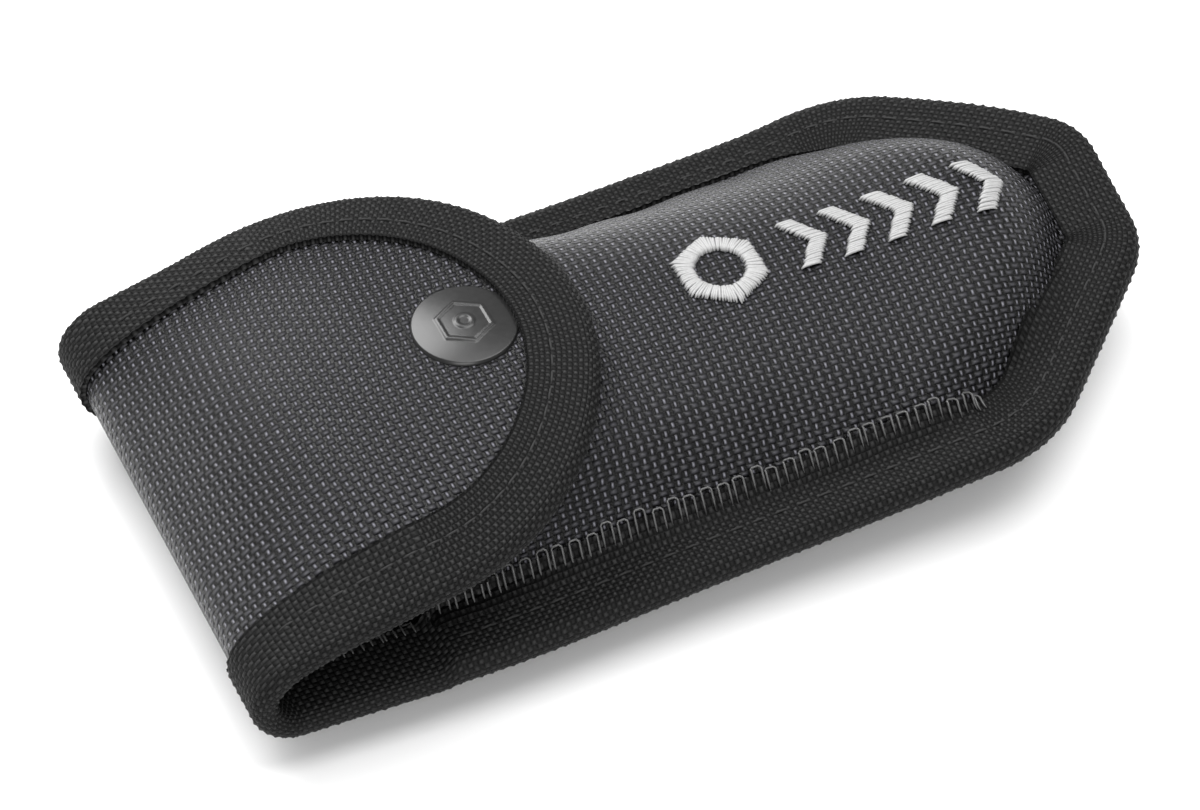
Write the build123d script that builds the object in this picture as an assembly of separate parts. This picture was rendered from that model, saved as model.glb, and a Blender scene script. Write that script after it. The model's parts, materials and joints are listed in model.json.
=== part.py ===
"""Belt sheath of ballistic nylon for a folding multi tool, lying on its back with the flap snapped shut.

Frame: +X runs along the sheath towards its closed tip, +Y across it, +Z out of its front face.
The origin is under the middle of the whole sheath, in the plane of the belt loop's outer face.
Lengths are in millimetres.

The sheath is three bodies. The back panel, front panel and belt loop are one. The flap panel is
joined to them by a fold that bends along two lines, so the middle of the fold is a body too.
"""

from build123d import *
import math
import os

# Layers of the sewn laminate, from the outside in
SHELL = 0.8  # ballistic nylon
CORE = 0.8  # foam in the front, fold and flap, stiff board in the back
LINING = 0.4  # smooth nylon
LAMINATE = SHELL + CORE + LINING
TAPE = 0.8  # thickness of one leg of the binding tape
TAPE_LEG = 10.0  # half of a 22 mm tape, less the turn round the edge

# Outline of the sheath in plan, tape included
LENGTH = 144.8
HALF_WIDTH = 37.5
HALF_WIDTH_SHOULDER = 36.6
CORNER_SUM = 83.0  # x + y along the 45 degree edges beside the tip
SHOULDER_RADIUS = 20.0
TIP_RADIUS = 11.0
TIP_X = LENGTH / 2

# The back panel bows up towards the tip
BACK_Z = 7.0  # its outer face, over the belt gap
BOW_X = -43.0
BOW_RADIUS = 870.0
BOW_SWEEP = 8.0  # degrees, past the tip

# The fold that joins the back panel to the flap
FOLD_RADIUS = 6.0  # its outer face, under the tape
FOLD_X = -TIP_X + FOLD_RADIUS + TAPE
FOLD_Z = BACK_Z + FOLD_RADIUS
FOLD_LINES = (225, 135)  # degrees round the fold, seen with +X to the right and +Z up
FOLD_GAP = 0.3  # between the bodies at a fold line
BOARD_X = FOLD_X + 3  # where the back's stiff board starts
CORE_INSET = 3.0  # from the tape's inside to the foam or board

# The front panel: a dome that rises from a sewn flange
MOUTH_X = -45.0
SEAM_Z = 12.5  # where the dome leaves the tape
RIDGE_Z = 27.7
DOME_HALF_WIDTH = 27.6
SECTION_POWER_MOUTH = 3.6  # a fuller, boxier arch at the mouth than at the tip
SECTION_POWER_TIP = 2.2
SECTION_X = (-20.0, 35.0)  # where the one turns into the other
DOME_END = (28.0, 62.4)  # where the ridge starts to fall, and where it meets the seam
DOME_END_POWER = 6
DOME_CORNER = (40.0, 74.0)  # the same, measured along x + y
DOME_CORNER_POWER = 6
DOME_CORNER_ROUND = 6.0
UNDERCUT = 0.6  # how far the surface goes on below the seam, as a share of the dome's height

# The flap
FLAP_END_X = -9.75
FLAP_RADIUS = 36.25
FLAP_MIDDLE_RISE = ((16.2, 14.6),)  # pairs of rise and run, added up
FLAP_EDGE_RISE = ((1.5, 2.0), (8.7, 36.0))

# The snap fastener
SNAP_X = -26.5
CAP_RADIUS = 7.5
CAP_SKIRT = 0.7
CAP_CROWN = 1.5
SOCKET_RADIUS = 6.2
SOCKET_CAVITY = 4.0
SOCKET_HEIGHT = 2.5
SNAP_SHEET = 0.5
STUD_BASE_RADIUS = 5.5
STUD_NECK_RADIUS = 1.9
STUD_HEAD_RADIUS = 2.7
STUD_HEIGHT = 2.7
STUD_BEVEL = 0.6
RIVET_RADIUS = 1.6
RIVET_HOLE = 1.75
SPRING_RADIUS = 3.78
SPRING_WIRE = 0.2

# The belt loop
STRAP = 1.8
STRAP_HALF_WIDTH = 21.0
STRAP_SEWN_TOP = (-45.0, -35.0)
STRAP_FREE = (-27.0, 21.0)
STRAP_SEWN_FOOT = (29.0, 39.0)
STRAP_BEND = 3.0

# Stitches
STITCH_LONG = 2.6
STITCH_WIDE = 0.55
STITCH_HIGH = 0.3
STITCH_PITCH = 3.8
STITCH_LIFT = 0.02  # clear of the surface it lies on
EDGE_STITCH_INSET = 5.0  # from the sheath's rim, clear of the dome's foot at the tip
FLAP_STITCH_INSET = 6.5
BAR_STITCH_INSET = 2.5  # from the ends of the sewn stretches
STRAP_STITCH_INSET = 3.0  # from the strap's sides

# The embroidered mark: a plain hexagon ring and a row of chevrons
MARK_RAISE = 0.5
MARK_NUT_X = 12.0
MARK_NUT_RADIUS = 7.0
MARK_NUT_HOLE = 3.6
CHEVRONS = 5
CHEVRON_X = 22.5
CHEVRON_PITCH = 6.6
CHEVRON_HALF = 4.5
CHEVRON_STROKE = 3.0

FAR = 100.0  # past everything
GRID = 3.5  # spacing of the points that the formed surfaces pass through


def bow(x):
    """How far the back panel has risen at x."""
    return max(0.0, x - BOW_X) ** 2 / (2 * BOW_RADIUS)


def slab_face(x, depth):
    """Height at x of the face that lies depth above the back panel's outer face."""
    run = max(0.0, x - BOW_X)
    return BACK_Z + BOW_RADIUS - math.sqrt((BOW_RADIUS - depth) ** 2 - run**2)


def ease(t):
    """A smooth step from 0 to 1."""
    t = min(1.0, max(0.0, t))
    return t * t * (3 - 2 * t)


# ---------------------------------------------------------------- plan outlines


def prism(face):
    """The whole column over a plan face."""
    return extrude(face, amount=FAR, both=True)


def sheath_plan(inset):
    """The sheath's plan, open past the fold."""
    corner_x = CORNER_SUM - HALF_WIDTH_SHOULDER
    corner_y = CORNER_SUM - TIP_X
    half = [(-FAR, HALF_WIDTH), (FOLD_X, HALF_WIDTH), (corner_x, HALF_WIDTH_SHOULDER), (TIP_X, corner_y)]
    other = [(x, -y) for x, y in reversed(half)]
    face = make_face(Polyline(*half, *other, close=True))
    shoulders = [v for v in face.vertices() if abs(v.X - corner_x) < 0.1]
    face = fillet(shoulders, SHOULDER_RADIUS)
    tips = [v for v in face.vertices() if abs(v.X - TIP_X) < 0.1]
    face = fillet(tips, TIP_RADIUS)
    return offset(face, amount=-inset) if inset else face


def flap_plan(inset):
    """The flap's plan: a tongue with a half-round end."""
    centre = FLAP_END_X - FLAP_RADIUS
    radius = FLAP_RADIUS - inset
    start = HALF_WIDTH - inset
    tongue = Line((-FAR, -start), (FOLD_X, -start))
    tongue += Line((FOLD_X, -start), (centre, -radius))
    tongue += ThreePointArc((centre, -radius), (centre + radius, 0), (centre, radius))
    tongue += Line((centre, radius), (FOLD_X, start))
    tongue += Line((FOLD_X, start), (-FAR, start))
    tongue += Line((-FAR, start), (-FAR, -start))
    return make_face(tongue)


# ---------------------------------------------------------------- layers of the back panel and the fold


def slab(low, high):
    """The layer from low to high above the back panel's outer face, up to the lower fold line."""
    fold = (FOLD_X, FOLD_Z)
    bow_centre = (BOW_X, BACK_Z + BOW_RADIUS)
    start = FOLD_LINES[0]
    deepest = min(high, FOLD_RADIUS - 0.5)

    def run(depth, fold_depth):
        return [
            CenterArc(fold, FOLD_RADIUS - fold_depth, start, 270 - start),
            Line((FOLD_X, BACK_Z + fold_depth), (FOLD_X, BACK_Z + depth)) if fold_depth != depth else None,
            Line((FOLD_X, BACK_Z + depth), (BOW_X, BACK_Z + depth)),
            CenterArc(bow_centre, BOW_RADIUS - depth, 270, BOW_SWEEP),
        ]

    under = run(low, low)
    over = run(high, deepest)
    ends = [Line(under[0] @ 0, over[0] @ 0), Line(under[-1] @ 1, over[-1] @ 1)]
    edges = [edge for edge in under + over + ends if edge is not None]
    face = make_face([Plane.XZ * edge for edge in edges])
    return extrude(face, amount=FAR, both=True)


def fold_sector(outer, inner, start, end, half_width):
    """A ring sector round the fold's axis."""
    lines = [
        CenterArc((FOLD_X, FOLD_Z), outer, start, end - start),
        CenterArc((FOLD_X, FOLD_Z), inner, start, end - start),
    ]
    lines += [Line(lines[0] @ 0, lines[1] @ 0), Line(lines[0] @ 1, lines[1] @ 1)]
    return extrude(make_face([Plane.XZ * line for line in lines]), amount=half_width, both=True)


def fold_plane(line):
    """The cutting plane through the fold's axis at one of its lines; its top side is the sheath or flap."""
    angle = math.radians(FOLD_LINES[line])
    across = -math.sin(angle), math.cos(angle)
    if line == 1:
        across = -across[0], -across[1]
    shift = FOLD_GAP / 2
    origin = (FOLD_X + across[0] * shift, 0, FOLD_Z + across[1] * shift)
    return Plane(origin=origin, x_dir=(0, 1, 0), z_dir=(across[0], 0, across[1]))


# ---------------------------------------------------------------- formed surfaces


def under_surface(height, x_range, y_half):
    """The solid under z = height(x, y)."""
    columns = math.ceil((x_range[1] - x_range[0]) / GRID) + 1
    rows = math.ceil(2 * y_half / GRID) + 1
    xs = [x_range[0] + (x_range[1] - x_range[0]) * i / (columns - 1) for i in range(columns)]
    ys = [-y_half + 2 * y_half * j / (rows - 1) for j in range(rows)]
    points = [[Vector(x, y, height(x, y)) for y in ys] for x in xs]
    surface = Face.make_surface_from_array_of_points(points, tol=0.02)
    return Solid.extrude(surface, Vector(0, 0, -FAR))


def dome_height(x, y, depth):
    """Height of the front panel's surface, depth below its outer face."""
    blend = ease((x - SECTION_X[0]) / (SECTION_X[1] - SECTION_X[0]))
    power = SECTION_POWER_MOUTH + (SECTION_POWER_TIP - SECTION_POWER_MOUTH) * blend
    side = (abs(y) / (DOME_HALF_WIDTH - depth)) ** power
    end = max(0.0, (x - DOME_END[0]) / (DOME_END[1] - DOME_END[0] - depth)) ** DOME_END_POWER
    diagonal = x + math.hypot(y, DOME_CORNER_ROUND)
    corner_run = DOME_CORNER[1] - DOME_CORNER[0] - depth * math.sqrt(2)
    corner = max(0.0, (diagonal - DOME_CORNER[0]) / corner_run) ** DOME_CORNER_POWER
    share = 1 - side - end - corner
    if share < 0:
        share = -UNDERCUT * (1 - math.exp(share / UNDERCUT))
    seam = SEAM_Z + bow(x)
    return seam + (RIDGE_Z - depth - seam) * share


def dome(depth):
    """Everything under the front panel's surface, depth below its outer face."""
    return under_surface(lambda x, y: dome_height(x, y, depth), (MOUTH_X - 3 - depth, 67 + depth), 33 + depth)


def flap_height(x, y, depth):
    """Height of the flap's surface, depth below its outer face."""
    start_x = FOLD_X + FOLD_RADIUS * math.cos(math.radians(FOLD_LINES[1]))
    start_z = FOLD_Z + FOLD_RADIUS * math.sin(math.radians(FOLD_LINES[1]))

    def rise(steps):
        return sum(up * math.tanh((x - start_x) / run) for up, run in steps)

    def slope(steps):
        return sum(up / run / math.cosh((x - start_x) / run) ** 2 for up, run in steps)

    crown = 1 - (y / HALF_WIDTH) ** 2
    z = start_z + rise(FLAP_EDGE_RISE) * (1 - crown) + rise(FLAP_MIDDLE_RISE) * crown
    along = slope(FLAP_EDGE_RISE) * (1 - crown) + slope(FLAP_MIDDLE_RISE) * crown
    across = 2 * y / HALF_WIDTH**2 * (rise(FLAP_EDGE_RISE) - rise(FLAP_MIDDLE_RISE))
    return z - depth * math.sqrt(1 + along**2 + across**2)


def flap_block(depth):
    """Everything under the flap's surface, depth below its outer face."""
    x_range = (FOLD_X - 9 - depth, FLAP_END_X + 3 + depth)
    return under_surface(lambda x, y: flap_height(x, y, depth), x_range, HALF_WIDTH + 2 + depth)


def past_x(x):
    """The half-space beyond x."""
    return Location((x + FAR, 0, 0)) * Box(2 * FAR, 2 * FAR, 2 * FAR)


# ---------------------------------------------------------------- stitches


def stitch(point, along, height, side):
    """One stitch of thread on the surface z = height(x, y): above it if side is 1, below it if side is -1."""
    x, y = point.X, point.Y
    slope_x = height(x + 0.5, y) - height(x - 0.5, y)
    slope_y = height(x, y + 0.5) - height(x, y - 0.5)
    lie = Plane(
        origin=(x, y, height(x, y)),
        x_dir=(along.X, along.Y, along.X * slope_x + along.Y * slope_y),
        z_dir=(-slope_x, -slope_y, 1),
    )
    seat = Location((0, 0, side * (STITCH_HIGH / 2 + STITCH_LIFT)))
    return lie * seat * Box(STITCH_LONG, STITCH_WIDE, STITCH_HIGH)


def stitches_along(wire, pitch, height, keep, side):
    """Stitches at an even pitch along a plan wire."""
    count = max(1, round(wire.length / pitch))
    row = []
    for i in range(count):
        point = wire @ ((i + 0.5) / count)
        if keep(point):
            row.append(stitch(point, wire % ((i + 0.5) / count), height, side))
    return row


def box_cross(x_low, x_high, half_width, height):
    """A sewn box with a cross in it, under the surface z = height(x, y)."""
    corners = [(x_low, -half_width), (x_high, -half_width), (x_high, half_width), (x_low, half_width)]
    runs = [Line(corners[i], corners[(i + 1) % 4]) for i in range(4)]
    runs += [Line(corners[0], corners[2]), Line(corners[1], corners[3])]
    row = []
    for run in runs:
        row += stitches_along(run, STITCH_PITCH, height, lambda point: True, -1)
    return row


# ---------------------------------------------------------------- the snap fastener


def turned(points, x, z):
    """A part turned round a vertical axis at x: points are (radius, height) above z."""
    profile = make_face(Plane.XZ * Polyline(*points, close=True))
    return Location((x, 0, z)) * revolve(profile, Axis.Z)


def snap_parts():
    """The cap, socket and spring on the flap, the stud and its post on the front panel."""
    fabric = flap_height(SNAP_X, 0, 0)
    rim_drop = fabric - flap_height(SNAP_X, CAP_RADIUS, 0)
    inside = flap_height(SNAP_X, 0, LAMINATE)
    panel = dome_height(SNAP_X, 0, 0)
    top = CAP_SKIRT + CAP_CROWN
    crown = [(CAP_RADIUS * math.sin(a), CAP_SKIRT + CAP_CROWN * math.cos(a)) for a in
             [math.pi / 2 * i / 8 for i in range(8)]]
    under = -LAMINATE - SNAP_SHEET
    cap_points = [(0, under), (RIVET_RADIUS, under), (RIVET_RADIUS, -rim_drop), (CAP_RADIUS, -rim_drop),
                  (CAP_RADIUS, CAP_SKIRT), *reversed(crown[1:]), (0, top)]
    cap = turned(cap_points, SNAP_X, fabric)
    ring = [(RIVET_RADIUS, 0), (SOCKET_RADIUS, 0), (SOCKET_RADIUS, -SOCKET_HEIGHT)]
    ring += [(SOCKET_CAVITY, -SOCKET_HEIGHT), (SOCKET_CAVITY, -SNAP_SHEET), (RIVET_RADIUS, -SNAP_SHEET)]
    socket = turned(ring, SNAP_X, inside)
    spring_z = inside - SOCKET_HEIGHT + 3 * SPRING_WIRE
    spring = Location((SNAP_X, 0, spring_z)) * Torus(SPRING_RADIUS, SPRING_WIRE)
    neck_top = STUD_HEIGHT * 0.5
    head = [(STUD_HEAD_RADIUS, neck_top + STUD_BEVEL), (STUD_HEAD_RADIUS, STUD_HEIGHT - STUD_BEVEL)]
    base = [(0, 0), (STUD_BASE_RADIUS, 0), (STUD_BASE_RADIUS, SNAP_SHEET)]
    neck = [(STUD_NECK_RADIUS, SNAP_SHEET), (STUD_NECK_RADIUS, neck_top)]
    stud = turned([*base, *neck, *head, (STUD_NECK_RADIUS, STUD_HEIGHT), (0, STUD_HEIGHT)], SNAP_X, panel)
    post_points = [(0, 0), (RIVET_RADIUS, 0), (RIVET_RADIUS, -LAMINATE), (STUD_BASE_RADIUS, -LAMINATE),
                   (STUD_BASE_RADIUS, under), (0, under)]
    post = turned(post_points, SNAP_X, panel)
    return cap, socket, spring, stud, post


# ---------------------------------------------------------------- the belt loop


def belt_loop():
    """A webbing strap sewn to the back panel at both ends, with a flat free run between them."""
    top = [(x, BACK_Z + bow(x)) for x in STRAP_SEWN_TOP]
    foot = [(x, BACK_Z + bow(x)) for x in STRAP_SEWN_FOOT]
    free = [(x, STRAP) for x in STRAP_FREE]
    inner = Polyline(*top, *free, *foot)
    outer_free = [(STRAP_FREE[0] - STRAP / 2, 0), (STRAP_FREE[1] + STRAP / 2, 0)]
    outer_top = [(STRAP_SEWN_TOP[0], top[0][1] - STRAP), (STRAP_SEWN_TOP[1] - STRAP / 2, top[1][1] - STRAP)]
    outer_foot = [(x, BACK_Z + bow(x) - STRAP) for x in (STRAP_SEWN_FOOT[0] + STRAP / 2, STRAP_SEWN_FOOT[1])]
    outer = Polyline(*outer_top, *outer_free, *outer_foot)
    ends = [Line(inner @ at, outer @ at).edge() for at in (0, 1)]
    face = make_face(inner.edges() + outer.edges() + ends)
    bends = [v for v in face.vertices() if STRAP_SEWN_TOP[0] + 1 < v.X < STRAP_SEWN_FOOT[1] - 1]
    face = fillet(bends, STRAP_BEND)
    return extrude(Plane.XZ * face, amount=STRAP_HALF_WIDTH, both=True)


# ---------------------------------------------------------------- the embroidered mark


def mark_plan():
    """The mark's outline in plan."""
    nut = RegularPolygon(MARK_NUT_RADIUS, 6) - Circle(MARK_NUT_HOLE)
    plan = Location((MARK_NUT_X, 0)) * nut
    for i in range(CHEVRONS):
        x = CHEVRON_X + CHEVRON_PITCH * i
        nose = CHEVRON_HALF * 0.7
        points = [(x, CHEVRON_HALF), (x + CHEVRON_STROKE, CHEVRON_HALF), (x + CHEVRON_STROKE + nose, 0),
                  (x + CHEVRON_STROKE, -CHEVRON_HALF), (x, -CHEVRON_HALF), (x + nose, 0)]
        plan += make_face(Polyline(*points, close=True))
    return plan


# ---------------------------------------------------------------- assembly


def build():
    """Every node of the sheath, by name."""
    nodes = {}
    plan = prism(sheath_plan(0))
    inner_plan = prism(sheath_plan(TAPE))
    tape_ring = plan - prism(sheath_plan(TAPE_LEG))
    ahead = past_x(MOUTH_X)
    flange = LAMINATE + LINING
    flange_top = flange + SHELL

    # Back panel
    lower = fold_plane(0)
    back = {
        "back_shell": slab(0, SHELL) & inner_plan,
        "back_stiffener": slab(SHELL, SHELL + CORE) & prism(sheath_plan(TAPE + CORE_INSET)) & past_x(BOARD_X),
        "back_lining": slab(SHELL + CORE, LAMINATE) & inner_plan,
    }
    back["back_shell"] = split(back["back_shell"], bisect_by=lower, keep=Keep.TOP)
    back["back_lining"] = split(back["back_lining"], bisect_by=lower, keep=Keep.TOP)
    nodes.update(back)

    # Front panel
    depths = (-TAPE, -MARK_RAISE, 0, SHELL, SHELL + CORE, LAMINATE, LAMINATE + TAPE)
    domes = {depth: dome(depth) for depth in depths}
    above_lining = slab(flange, FAR) & ahead
    above_back = slab(LAMINATE, FAR) & ahead
    cap, socket, spring, stud, post = snap_parts()
    hole = Location((SNAP_X, 0, RIDGE_Z)) * Cylinder(RIVET_HOLE, 10)
    shell = (slab(flange, flange_top) & inner_plan & ahead) + (domes[0] & above_lining)
    nodes["front_shell"] = shell - domes[SHELL] - hole
    nodes["front_foam"] = (domes[SHELL] & above_lining) - domes[SHELL + CORE] - hole
    lining = (slab(LAMINATE, flange) & inner_plan & ahead) - domes[LAMINATE]
    lining += (domes[SHELL + CORE] & above_back) - domes[LAMINATE]
    nodes["front_lining"] = lining - hole

    # Binding of the sides and tip
    behind = tape_ring & slab(-TAPE, LAMINATE + TAPE) - (inner_plan & slab(0, LAMINATE))
    behind = split(behind, bisect_by=Plane(origin=(MOUTH_X, 0, 0), z_dir=(-1, 0, 0)), keep=Keep.TOP)
    behind = split(behind, bisect_by=lower, keep=Keep.TOP)
    wrap = slab(-TAPE, flange_top + TAPE) + (domes[-TAPE] & slab(LAMINATE, FAR))
    wrap = (wrap & tape_ring & ahead) - (inner_plan & slab(0, flange_top)) - (domes[0] & slab(LAMINATE, FAR))
    nodes["edge_binding"] = behind + wrap

    # Binding of the mouth
    mouth = (domes[-TAPE] - domes[LAMINATE + TAPE]) & slab(flange_top + TAPE, FAR) & past_x(MOUTH_X - TAPE)
    mouth -= past_x(MOUTH_X + TAPE_LEG)
    mouth -= (domes[0] - domes[LAMINATE]) & ahead
    nodes["mouth_binding"] = mouth - nodes["edge_binding"]

    # Fold
    first, last = FOLD_LINES[1], FOLD_LINES[0]
    turn = math.degrees(FOLD_GAP / 2 / FOLD_RADIUS)
    start, end = first + turn, last - turn
    panel_half = HALF_WIDTH - TAPE
    nodes["fold_shell"] = fold_sector(FOLD_RADIUS, FOLD_RADIUS - SHELL, start, end, panel_half)
    outside, inside = FOLD_RADIUS - SHELL, FOLD_RADIUS - SHELL - CORE
    nodes["fold_foam"] = fold_sector(outside, inside, start, end, panel_half - CORE_INSET)
    nodes["fold_lining"] = fold_sector(inside, FOLD_RADIUS - LAMINATE, start, end, panel_half)
    wrap = fold_sector(FOLD_RADIUS + TAPE, FOLD_RADIUS - LAMINATE - TAPE, start, end, HALF_WIDTH)
    wrap -= Box(2 * FAR, 2 * (HALF_WIDTH - TAPE_LEG), 2 * FAR)
    wrap -= fold_sector(FOLD_RADIUS, FOLD_RADIUS - LAMINATE, start - 5, end + 5, panel_half)
    for side, solid in zip(("near", "far"), wrap.solids().sort_by(Axis.Y)):
        nodes[f"fold_binding_{side}"] = solid

    # Flap
    upper = fold_plane(1)
    depths = (-TAPE, 0, SHELL, SHELL + CORE, LAMINATE, LAMINATE + TAPE)
    blocks = {depth: flap_block(depth) for depth in depths}
    flap_inner = prism(flap_plan(TAPE))
    rivet_hole = Location((SNAP_X, 0, flap_height(SNAP_X, 0, 0))) * Cylinder(RIVET_HOLE, 10)

    def flap_layer(top, bottom, column):
        return split((blocks[top] - blocks[bottom]) & column, bisect_by=upper, keep=Keep.TOP)

    nodes["flap_shell"] = flap_layer(0, SHELL, flap_inner) - rivet_hole - cap
    nodes["flap_foam"] = flap_layer(SHELL, SHELL + CORE, prism(flap_plan(TAPE + CORE_INSET))) - rivet_hole
    nodes["flap_lining"] = flap_layer(SHELL + CORE, LAMINATE, flap_inner) - rivet_hole - socket
    flap_ring = prism(flap_plan(0)) - prism(flap_plan(TAPE_LEG))
    binding = flap_layer(-TAPE, LAMINATE + TAPE, flap_ring)
    nodes["flap_binding"] = binding - (flap_inner & (blocks[0] - blocks[LAMINATE])) - cap

    # Snap fastener
    nodes["snap_cap"] = cap
    nodes["snap_socket"] = socket
    nodes["snap_spring"] = spring
    nodes["snap_stud"] = stud
    nodes["snap_post"] = post

    # Belt loop
    nodes["belt_loop"] = belt_loop() - nodes["back_shell"]

    # Stitches
    def on_tape(x, y):
        return slab_face(x, flange_top + TAPE)

    def under_tape(x, y):
        return slab_face(x, -TAPE)

    seam = sheath_plan(EDGE_STITCH_INSET).face().outer_wire()
    row = stitches_along(seam, STITCH_PITCH, on_tape, lambda p: p.X > MOUTH_X + 2, 1)
    row += stitches_along(seam, STITCH_PITCH, under_tape, lambda p: p.X > BOARD_X, -1)
    nodes["edge_binding_stitches"] = Compound(children=row)

    def on_flap(x, y):
        return flap_height(x, y, -TAPE)

    flap_seam = flap_plan(FLAP_STITCH_INSET).face().outer_wire()
    row = stitches_along(flap_seam, STITCH_PITCH, on_flap, lambda p: p.X > FOLD_X + 6, 1)
    nodes["flap_binding_stitches"] = Compound(children=row)

    def under_top(x, y):
        return BACK_Z + bow(x) - STRAP

    sewn = []
    for low, high in (STRAP_SEWN_TOP, STRAP_SEWN_FOOT):
        span = (low + BAR_STITCH_INSET, high - BAR_STITCH_INSET)
        sewn.append(box_cross(*span, STRAP_HALF_WIDTH - STRAP_STITCH_INSET, under_top))
    nodes["belt_loop_upper_stitches"] = Compound(children=sewn[0])
    nodes["belt_loop_lower_stitches"] = Compound(children=sewn[1])

    # Embroidered mark
    nodes["embroidered_mark"] = (domes[-MARK_RAISE] - domes[0]) & prism(mark_plan())
    return nodes


def main():
    os.makedirs("parts", exist_ok=True)
    for name, shape in build().items():
        shape.label = name
        export_step(shape, f"parts/{name}.step")


main()
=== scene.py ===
"""Looks of a ballistic nylon belt sheath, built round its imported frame.

Lengths in this script are millimetres; make_mesh turns them into metres. Every fabric layer is a
grid on one of three surfaces: the back panel with the lower half of the fold, the flap with the
upper half, and the front panel. The binding tape is swept round the rim of those same surfaces.
"""

import json
import math

import bpy
import numpy as np
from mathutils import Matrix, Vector


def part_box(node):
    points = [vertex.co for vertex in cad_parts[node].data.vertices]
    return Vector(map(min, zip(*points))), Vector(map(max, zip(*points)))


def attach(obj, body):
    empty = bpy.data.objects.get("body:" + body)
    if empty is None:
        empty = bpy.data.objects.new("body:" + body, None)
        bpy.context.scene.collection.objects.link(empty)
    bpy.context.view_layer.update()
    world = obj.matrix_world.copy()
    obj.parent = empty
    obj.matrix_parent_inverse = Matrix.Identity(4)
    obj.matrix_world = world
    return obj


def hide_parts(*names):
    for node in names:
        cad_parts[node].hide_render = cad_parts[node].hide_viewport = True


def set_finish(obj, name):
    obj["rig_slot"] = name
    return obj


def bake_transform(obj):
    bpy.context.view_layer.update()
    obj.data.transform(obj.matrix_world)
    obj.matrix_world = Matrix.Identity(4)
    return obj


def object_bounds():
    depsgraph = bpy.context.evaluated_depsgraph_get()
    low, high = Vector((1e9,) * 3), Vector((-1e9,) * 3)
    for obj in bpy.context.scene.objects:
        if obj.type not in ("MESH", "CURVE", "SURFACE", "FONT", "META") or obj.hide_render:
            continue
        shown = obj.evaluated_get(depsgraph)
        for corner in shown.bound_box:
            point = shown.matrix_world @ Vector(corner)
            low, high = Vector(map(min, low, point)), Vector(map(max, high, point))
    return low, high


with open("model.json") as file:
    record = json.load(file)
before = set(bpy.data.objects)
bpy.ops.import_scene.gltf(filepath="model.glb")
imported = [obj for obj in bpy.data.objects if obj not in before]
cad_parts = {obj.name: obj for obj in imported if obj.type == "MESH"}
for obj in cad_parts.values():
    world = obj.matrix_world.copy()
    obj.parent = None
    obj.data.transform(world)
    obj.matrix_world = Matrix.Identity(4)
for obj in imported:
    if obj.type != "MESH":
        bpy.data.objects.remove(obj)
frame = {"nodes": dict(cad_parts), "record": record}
CAD_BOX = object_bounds()
rng = np.random.default_rng(7)

MM = 0.001


def box(node):
    """A CAD node's lowest and highest corners in millimetres."""
    low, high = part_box(node)
    return np.array(low) / MM, np.array(high) / MM


# ---------------------------------------------------------------- sizes from the frame

TIP_X = CAD_BOX[1][0] / MM
HALF_WIDTH = CAD_BOX[1][1] / MM
BACK_Z = box("back_shell")[0][2]
FOLD_Z = (box("fold_shell")[0][2] + box("fold_shell")[1][2]) / 2
FOLD_R = FOLD_Z - BACK_Z
FOLD_X = box("fold_shell")[0][0] + FOLD_R
TAPE = FOLD_X - FOLD_R - CAD_BOX[0][0] / MM
MOUTH_X = box("front_shell")[0][0]
RIDGE_Z = box("front_shell")[1][2]
FLAP_END_X = box("flap_binding")[1][0]
SNAP_X = (box("snap_cap")[0][0] + box("snap_cap")[1][0]) / 2
CAP_RADIUS = (box("snap_cap")[1][0] - box("snap_cap")[0][0]) / 2

# The layers, as in the CAD model
SHELL = 0.8
CORE = 0.8
LINING = 0.4
LAMINATE = SHELL + CORE + LINING
FLANGE_TOP = LAMINATE + LINING + SHELL
TAPE_LEG = 10.0
CORE_INSET = 3  # from the tape's inside to the foam or board
STRAP = 1.8
GAP = 0.05  # between a core and the cloth over it

# The plan outline and the formed surfaces, as in the CAD model
SHOULDER_HALF = 36.6
CORNER_SUM = 83.0
SHOULDER_RADIUS = 20.0
TIP_RADIUS = 11.0
BOW_X = -43.0
BOW_RADIUS = 870.0
SEAM_Z = 12.5
DOME_HALF_WIDTH = 27.6
SECTION_POWERS = (3.6, 2.2)
SECTION_X = (-20.0, 35.0)
DOME_END = (28.0, 62.4)
DOME_END_POWER = 6
DOME_CORNER = (40.0, 74.0)
DOME_CORNER_POWER = 6
DOME_CORNER_ROUND = 6.0
FLAP_RADIUS = 36.25
FLAP_MIDDLE_RISE = ((16.2, 14.6),)
FLAP_EDGE_RISE = ((1.5, 2.0), (8.7, 36.0))

# Weave of the tape: knobs of thread in staggered rows
KNOB = 1.55  # along the tape
KNOB_STEPS = 4
ROWS_LEG = 11
ROWS_RIM = 10
KNOB_HEIGHT = 0.26
VALLEY = 0.25  # height between two rows, as a share of a knob's

# Threads
THREAD_SIDES = 6
THREAD_TAPER = 0.45  # radius at a thread's ends, as a share of its own
STITCH_PITCH = 3.4
STITCH_HALF = 1.2
STITCH_BOW = 0.2
STITCH_LIFT = 0.12  # over the tape
STITCH_RADIUS = 0.19
LOOP_RADIUS = 0.17
STRAND_RADIUS = 0.225
EDGE_STITCH_INSET = 5.0
FLAP_STITCH_INSET = 6.5

# Loops of edge thread: places are insets from the sheath's rim
LOOP_STEP = 0.1  # between the outline's points that the loops are laid from
LOOP_PITCH = 2.5
LOOP_HALF = 0.75
LOOP_LEG = (8.3, 9.2, 10.05, 10.35)
LOOP_TOP = 10.6
LOOP_LAST_X = 42

# The snap cap
CAP_LIFT = 0.35  # its rim, over the cloth under its middle
CAP_CROWN = 0.75  # its middle, over its rim
CAP_ROLL = 0.35  # width of the rolled rim
CAP_ROLL_DROP = 0.28
EMBOSS = 0.14
HEXAGON = (3.0, 3.7)  # inner and outer half widths
RING = (0.7, 1.5)  # inner and outer radii

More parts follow.
